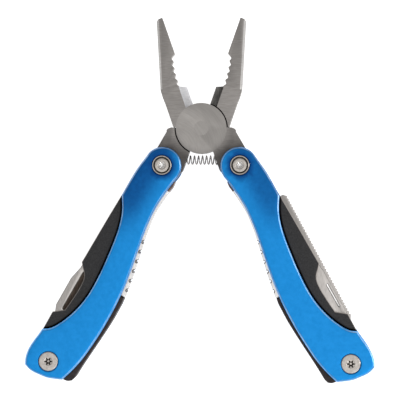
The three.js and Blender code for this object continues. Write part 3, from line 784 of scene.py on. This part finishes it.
def on_handle(side, points):
    """Plan points in a handle's own s (from the pivot to the axle) and t (outwards)."""
    down = (AXLES[side] - PIVOTS[side]) / np.linalg.norm(AXLES[side] - PIVOTS[side])
    outwards = np.array([down[1], -down[0]]) if side == "left" else np.array([-down[1], down[0]])
    offset = points - PIVOTS[side]
    return offset @ down, offset @ outwards


def scales(side):
    """The blue plates, with a counterbore for a head on both faces of each hole."""
    bores = [(BORE, BORE_DEPTH), (BARREL_HOLE, BORE_DEPTH), (BARREL_HOLE, SCALE_DEPTH), (BORE, SCALE_DEPTH)]
    for face, up in FACES.items():
        node = f"{side}_{face}_scale"
        made = slab(node, up, edge_radius=0.9, hole_radius=0.3, crown=0.12, bores=bores)
        plan = np.array([v.co.xy[:] for v in made.data.vertices]) / MM
        # painted shade on the blue, kept as a point attribute
        made.data.attributes.new("painted_blue_shade", "FLOAT", "POINT").data.foreach_set("value", painted_blue_shade(side, plan))
        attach(made, BODY_OF[node])


def ease(value, start, end):
    """0 before start, 1 after end, and a smooth step between."""
    share = np.clip((value - start) / (end - start), 0, 1)
    return 3 * share**2 - 2 * share**3


def painted_blue_shade(side, plan):
    """Painted shade on the blue: darkest beside the pivot and towards the outer edge of the upper handle, with a
    painted shadow ring round the pivot screw.
    """
    s, t = on_handle(side, plan)
    inner_share, shadow_ring_strength = 0.15, 0.95
    shade_fades_along = (16, 36)  # s over which the painted shade fades out
    shade_grows_across = (-5, 3)  # t over which the painted shade grows
    shadow_ring_fades = (4.4, 5.8)  # distances from the pivot over which the painted shadow ring round its screw fades
    outwards = inner_share + (1 - inner_share) * ease(t, *shade_grows_across)
    upper = PAINTED_SHADE_STRENGTH[side] * (1 - ease(s, *shade_fades_along)) * outwards
    shadow_round_screw = shadow_ring_strength * (1 - ease(np.hypot(s, t), *shadow_ring_fades))
    return np.maximum(upper, shadow_round_screw * (s < AXLE_FAR)).astype(np.float32)


def liners(side):
    """The black plates, with a painted shadow line beside the scale on each."""
    for face, up in FACES.items():
        node = f"{side}_{face}_liner"
        cover = outer_outline(f"{side}_{face}_scale", up)
        made = slab(node, up, edge_radius=0.3, under_radius=0.1, cover=cover)
        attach(made, BODY_OF[node])


def stain(made, look, chosen):
    """Gives the chosen faces of a piece another finish. chosen takes a face's centre and its normal."""
    made.data.materials.append(look)
    index = len(made.data.materials) - 1
    for face in made.data.polygons:
        if chosen(np.array(face.center) / MM, face.normal):
            face.material_index = index


def bars(side):
    """The back spring and the end spacer fill the inner edge of the channel."""
    for name, radius, step in (("back_spring", 0.25, 0.35), ("end_spacer", 0.6, 0.6)):
        node = f"{side}_{name}"
        made = slab(node, 1, radius, under_radius=radius, step=step)
        if name == "back_spring":
            stain(made, BLADE_STEEL, lambda place, normal: abs(normal.z) < 0.5)
            # painted shade in and beside the jimping notches, and on the end nub
            stain(made, GROOVE_SHADE_STEEL, lambda place, normal: in_notch(side, place[:2]))
            stain(made, NUB_SHADE_STEEL, lambda place, normal: on_handle(side, place[:2])[0] < NUB_END)
        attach(made, BODY_OF[node])


def in_notch(side, place):
    """Whether a plan point lies in one of the back spring's jimping notches, or right beside it."""
    s, t = on_handle(side, place)
    first_s, first_t = NOTCH["start"]
    reach = NOTCH["radius"] + 0.3
    for along in np.arange(NOTCH["count"]) * NOTCH["pitch"]:
        if math.hypot(s - first_s - along, t - first_t - NOTCH["slope"] * along) < reach:
            return True
    return False


def recess_rings(top, away=1):
    """A six-lobed driver recess, from its bevelled rim down its walls to a conical floor."""
    radius, lobe, depth = RECESS["radius"], RECESS["lobe"], RECESS["depth"]
    return [
        (radius + lobe + 0.2, top),
        (radius + lobe + 0.12, top - away * 0.05),
        (radius + 0.05, top - away * 0.08, lobe),
        (radius, top - away * 0.14, lobe),
        (radius - 0.06, top - away * (depth - 0.45), lobe),
        (0.45, top - away * (depth - 0.1)),
        (0, top - away * depth),
    ]


def screw(side, name, centre):
    """A screw with a driver recess. A pivot screw's head has a stepped rim with a groove in it. Painted shade
    darkens the groove and the recess walls, and an axle screw's recess cone; a painted highlight lights a pivot
    screw's recess cone and floor.
    """
    node = f"{side}_{name}"
    low, high = extent(node)
    end, crown = low[2], high[2]
    scale_top = extent(f"{side}_front_scale")[1][2]
    seat = scale_top - HEAD_SEAT
    shank = [
        (0, end), (THREAD - 0.3, end), (THREAD, end + 0.3),
        (THREAD, seat), (HEAD - 0.1, seat), (HEAD, seat + 0.1),
    ]
    if name == "pivot_screw":
        rim = [
            (HEAD, scale_top - 0.25), (HEAD - 0.06, scale_top - 0.1), (HEAD - 0.2, scale_top),
            (HEAD - 0.42, scale_top), (HEAD - 0.5, scale_top - 0.16), (HEAD - 0.58, scale_top - 0.34),
            (HEAD - 0.95, scale_top - 0.34), (HEAD - 1.02, scale_top - 0.12), (HEAD - 1.12, crown - 0.05),
            (HEAD - 1.3, crown),
        ]
        groove = (4, 5)  # the rings of the rim that bound it
    else:
        rim = [
            (HEAD, crown - 0.3), (HEAD - 0.08, crown - 0.12),
            (HEAD - 0.25, crown - 0.02), (HEAD - 0.4, crown),
        ]
    rings = [*shank, *rim, *recess_rings(crown)]
    axis = len(rings) - 1
    walls = {axis - 4, axis - 3}
    cone, floor_of_recess = {axis - 2}, {axis - 1}
    # painted shade in the groove and recess, painted highlight on a pivot screw's recess floor
    if name == "pivot_screw":
        grooved = {len(shank) + k for k in groove}
        made = turned(node, centre, rings, dark=grooved | walls, bright=cone | floor_of_recess)
    else:
        made = turned(node, centre, rings, dark=walls | cone)
    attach(made, BODY_OF[node])


def barrel(side, name, centre):
    """A threaded barrel: a head like the screw's at the rear, and a tube that the shank enters."""
    node = f"{side}_{name}"
    low, high = extent(node)
    face, end = low[2], high[2]
    scale_back = extent(f"{side}_rear_scale")[0][2]
    seat = scale_back + HEAD_SEAT
    middle = (extent(f"{side}_front_scale")[1][2] + scale_back) / 2
    outer, bore = 2.5, THREAD + 0.2
    head = [(HEAD - 0.35, face), (HEAD - 0.1, face + 0.1), (HEAD, face + 0.3), (HEAD, seat), (outer, seat)]
    tube = [
        (outer, end - 0.2), (outer - 0.2, end), (bore + 0.1, end),
        (bore, end - 0.1), (bore, middle), (0, middle),
    ]
    rings = [*reversed(recess_rings(face, -1)), *head, *tube]
    # painted shade on the recess walls
    recess_walls = {1, 2, 3}
    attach(turned(node, centre, rings, dark=recess_walls), BODY_OF[node])


def ring(node):
    """A washer or spacer ring, with its corners broken."""
    low, high = extent(node)
    centre, outer = (low[:2] + high[:2]) / 2, (high[0] - low[0]) / 2
    bottom, top, inner, bevel = low[2], high[2], BARREL_HOLE, 0.08
    rings = [
        (inner, bottom + bevel), (inner + bevel, bottom), (outer - bevel, bottom), (outer, bottom + bevel),
        (outer, top - bevel), (outer - bevel, top), (inner + bevel, top), (inner, top - bevel),
    ]
    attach(turned(node, centre, rings), BODY_OF[node])


def rivet(node):
    """A plain pin, with its corners broken."""
    low, high = extent(node)
    centre, radius, bevel = (low[:2] + high[:2]) / 2, (high[0] - low[0]) / 2, 0.12
    rings = [
        (0, low[2]), (radius - bevel, low[2]), (radius, low[2] + bevel),
        (radius, high[2] - bevel), (radius - bevel, high[2]), (0, high[2]),
    ]
    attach(turned(node, centre, rings, count=32), BODY_OF[node])


for side in SIDES:
    scales(side)
    liners(side)
    bars(side)
    for name, centre in (("pivot", PIVOTS[side]), ("axle", AXLES[side])):
        screw(side, f"{name}_screw", centre)
        barrel(side, f"{name}_barrel", centre)
    for name in ("front_washer", "rear_washer", "tool_spacer_1", "tool_spacer_2", "tool_spacer_3"):
        ring(f"{side}_{name}")
    for name in ("spring_pin", "spacer_pin"):
        rivet(f"{side}_{name}")


# ---------------------------------------------------------------- tools and plier head

TOOL_EDGES = {  # how wide each tool's sharp edges are rounded off
    "knife": 0.18, "serrated_knife": 0.12, "saw": 0.05, "file": 0.12, "phillips_driver": 0.1,
    "large_flat_driver": 0.12, "small_flat_driver": 0.12, "can_opener": 0.08,
}
GROOVES = {  # finger-nail grooves: side, s from and to, t, half width and the steel of the floor, painted shade on the knife and a painted highlight on the serrated knife
    "knife": ("left", 50.5, 68.5, 4.95, 0.95, GROOVE_SHADE_STEEL),
    "serrated_knife": ("right", 56, 67.3, 6.95, 0.45, PAINTED_HIGHLIGHT_STEEL),
}
GROOVE_DEPTH = 0.5
SLOPING = (0.1, 0.97)  # a bevel's normal has a Z between these


def in_groove(node, place):
    """Whether a face of a blade is the floor of its finger-nail groove."""
    side, start, end, middle, half, _ = GROOVES[node]
    s, t = on_handle(side, place[:2])
    below = extent(node)[1][2] - place[2]
    return abs(below - GROOVE_DEPTH) < 0.1 and start < s < end and abs(t - middle) < half


def is_bevel(normal):
    """Whether a face is neither flat nor upright."""
    return SLOPING[0] < abs(normal.z) < SLOPING[1]


for node, width in TOOL_EDGES.items():
    made = refined(node, width)
    if node in GROOVES:
        # painted shade on the bevels; the groove floor takes the painted shade or painted highlight given in
        # GROOVES
        stain(made, BEVEL_SHADE_STEEL, lambda place, normal: is_bevel(normal))
        stain(made, GROOVES[node][-1], lambda place, normal: in_groove(node, place) and normal.z > SLOPING[1])
    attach(made, BODY_OF[node])


CUTTER_REACH = 19.5  # from the pivot to the top of the wire cutter
POCKET_RADIUS = DISC_RADIUS + 0.5
MIDDLE = JOINTS["jaw_pivot"]["pos_m"][2] / MM


def from_jaw_pivot(place):
    """A point's plan offset and distance from the jaws' pivot."""
    offset = place[:2] - JAW_CENTRE
    return offset, math.hypot(*offset)


def is_cutter(place, normal):
    """Whether a face belongs to the wire cutter, above the disc and turned to the middle."""
    offset, radius = from_jaw_pivot(place)
    faces_middle = offset[0] * normal.x < 0 and abs(normal.x) > 0.3
    return DISC_RADIUS < radius < CUTTER_REACH and faces_middle and offset[1] > 5


def is_chamfer(place, normal):
    """Whether a face is the chamfer along a jaw's outer edge."""
    offset, radius = from_jaw_pivot(place)
    sloping = 0.3 < abs(normal.z) < 0.95 and abs(normal.x) > 0.4
    return radius > CUTTER_REACH and sloping and offset[0] * normal.x > 0


def is_pocket(place, normal):
    """Whether a face lies in the pocket that the other half's disc turns in."""
    _, radius = from_jaw_pivot(place)
    bottom = abs(normal.z) > 0.9 and abs(place[2] - MIDDLE) < 0.3
    wall = abs(normal.z) < 0.1 and radius > POCKET_RADIUS - 0.2
    edge = is_bevel(normal) and radius > DISC_RADIUS - 0.2
    return radius < POCKET_RADIUS + 0.25 and (bottom or wall or edge)


def plier_half(node):
    """A plier half with rounded edges. Painted shade darkens its pocket and the rear half's cutter, a painted
    highlight lights the front half's cutter, and its chamfers' lighter steel is partly painted highlight.
    """
    made = refined(node, 0.12, segments=3)
    # the chamfers' lighter steel is partly a painted highlight
    stain(made, CHAMFER_STEEL, is_chamfer)
    # painted highlight on the front half's cutter, painted shade on the rear half's
    stain(made, HIGHLIT_CUTTER_STEEL if node == "plier_half_front" else SHADED_STEEL, is_cutter)
    # painted shade in the pocket
    stain(made, POCKET_SHADE_STEEL, is_pocket)
    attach(made, BODY_OF[node])


plier_half("plier_half_front")
plier_half("plier_half_rear")


def pivot_pin():
    """The pin of the lap joint, riveted flush over the edge of its hole and ground together with the disc."""
    node = "plier_pivot_pin"
    low, high = extent(node)
    radius = (high[0] - low[0]) / 2
    spread_over, proud = 0.3, 0.004
    rings = [
        (0, low[2] - proud), (radius + spread_over, low[2] - proud), (radius + spread_over, low[2] + 0.01),
        (radius, low[2] + spread_over), (radius, high[2] - spread_over),
        (radius + spread_over, high[2] - 0.01), (radius + spread_over, high[2] + proud), (0, high[2] + proud),
    ]
    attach(turned(node, JAW_CENTRE, rings), BODY_OF[node])


pivot_pin()


def jaw_spring():
    """A round wire wound evenly between the two tangs, its ends inside their seats.
    """
    node = "jaw_spring"
    low, high = extent(node)
    wire, slack = 0.24, 0.02
    coil = (high[2] - low[2]) / 2 - wire - slack
    axis = (low + high) / 2
    length = high[0] - low[0] - 2 * wire
    turns, steps, sides = 9.5, 40, 12
    count = int(turns * steps) + 1
    along = np.linspace(0, 1, count)
    angle = 2 * np.pi * turns * along
    x = axis[0] - length / 2 + length * along
    outward = np.column_stack([np.zeros(count), np.cos(angle), np.sin(angle)])
    line = np.column_stack([x, np.full(count, axis[1]), np.full(count, axis[2])]) + coil * outward
    tangent = np.gradient(line, axis=0)
    tangent /= np.linalg.norm(tangent, axis=1)[:, None]
    across = np.cross(tangent, outward)
    vertices, faces = [], []
    for k in range(count):
        for i in range(sides):
            turn = 2 * math.pi * i / sides
            around = math.cos(turn) * outward[k] + math.sin(turn) * across[k]
            vertices.append(line[k] + wire * around)
    for k in range(count - 1):
        for i in range(sides):
            j = (i + 1) % sides
            faces.append([k * sides + i, k * sides + j, (k + 1) * sides + j, (k + 1) * sides + i])
    faces.append(list(range(sides)))
    faces.append(list(range((count - 1) * sides, count * sides)))
    made = stand_in(node, closed_mesh("fine_jaw_spring", vertices, faces))
    made.data.materials[0] = WIRE_STEEL
    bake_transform(made)


jaw_spring()


# ---------------------------------------------------------------- stage

VIEW_WIDTH = 156.3  # what the picture spans at the tool's mid-plane
VIEW_DISTANCE = 900
VIEW_TILT = math.radians(2.2)  # the camera stands a little to the right
SENSOR = 36


def floor():
    """A plain pale floor, just under the tool. Its own light keeps it white."""
    mesh = bpy.data.meshes.new("floor")
    half, below = 2.5, 0.0002  # metres
    corners = [(-half, -half, 0), (half, -half, 0), (half, half, 0), (-half, half, 0)]
    mesh.from_pydata(corners, [], [(0, 1, 2, 3)])
    made = bpy.data.objects.new("floor", mesh)
    made.location.z = -below
    bpy.context.scene.collection.objects.link(made)
    look = bpy.data.materials.new("floor")
    look.use_nodes = True
    shader = look.node_tree.nodes["Principled BSDF"]
    shader.inputs["Base Color"].default_value = (0.9, 0.9, 0.9, 1)
    shader.inputs["Roughness"].default_value = 0.9
    shader.inputs["Emission Color"].default_value = (1, 1, 1, 1)
    shader.inputs["Emission Strength"].default_value = 0.75
    mesh.materials.append(look)


def area_light(name, place, size, power):
    """A rectangular lamp turned to the origin. Its place and size are in metres, its power in watts."""
    lamp = bpy.data.lights.new(name, "AREA")
    lamp.shape = "RECTANGLE"
    lamp.size, lamp.size_y = size
    lamp.energy = power
    made = bpy.data.objects.new(name, lamp)
    made.location = place
    made.rotation_euler = (-Vector(place)).to_track_quat("-Z", "Y").to_euler()
    bpy.context.scene.collection.objects.link(made)


def lights():
    """An even white surround, a wide panel overhead, a small one for the edges and a strip at the right."""
    world = bpy.data.worlds.new("studio")
    world.use_nodes = True
    world.node_tree.nodes["Background"].inputs["Color"].default_value = (1, 1, 1, 1)
    world.node_tree.nodes["Background"].inputs["Strength"].default_value = 0.55
    bpy.context.scene.world = world
    area_light("overhead", (0.1, -0.35, 1.1), (1.3, 1.3), 2.8)
    area_light("edges", (0.3, -0.4, 0.7), (0.25, 0.25), 0.45)
    area_light("right", (0.8, 0.05, 0.4), (0.3, 0.8), 2.3)


def camera():
    """A camera that looks down on the tool from far off, as in the photo."""
    data = bpy.data.cameras.new("camera")
    data.sensor_width = SENSOR
    data.lens = SENSOR * VIEW_DISTANCE / VIEW_WIDTH
    made = bpy.data.objects.new("camera", data)
    low, high = cad_box
    target = Vector((0, 0, (low.z + high.z) / 2))
    made.location = target + Vector((math.sin(VIEW_TILT), 0, math.cos(VIEW_TILT))) * VIEW_DISTANCE * MM
    made.rotation_euler = (0, VIEW_TILT, 0)
    bpy.context.scene.collection.objects.link(made)
    bpy.context.scene.camera = made


floor()
lights()
camera()
bpy.context.scene.view_settings.view_transform = "Standard"
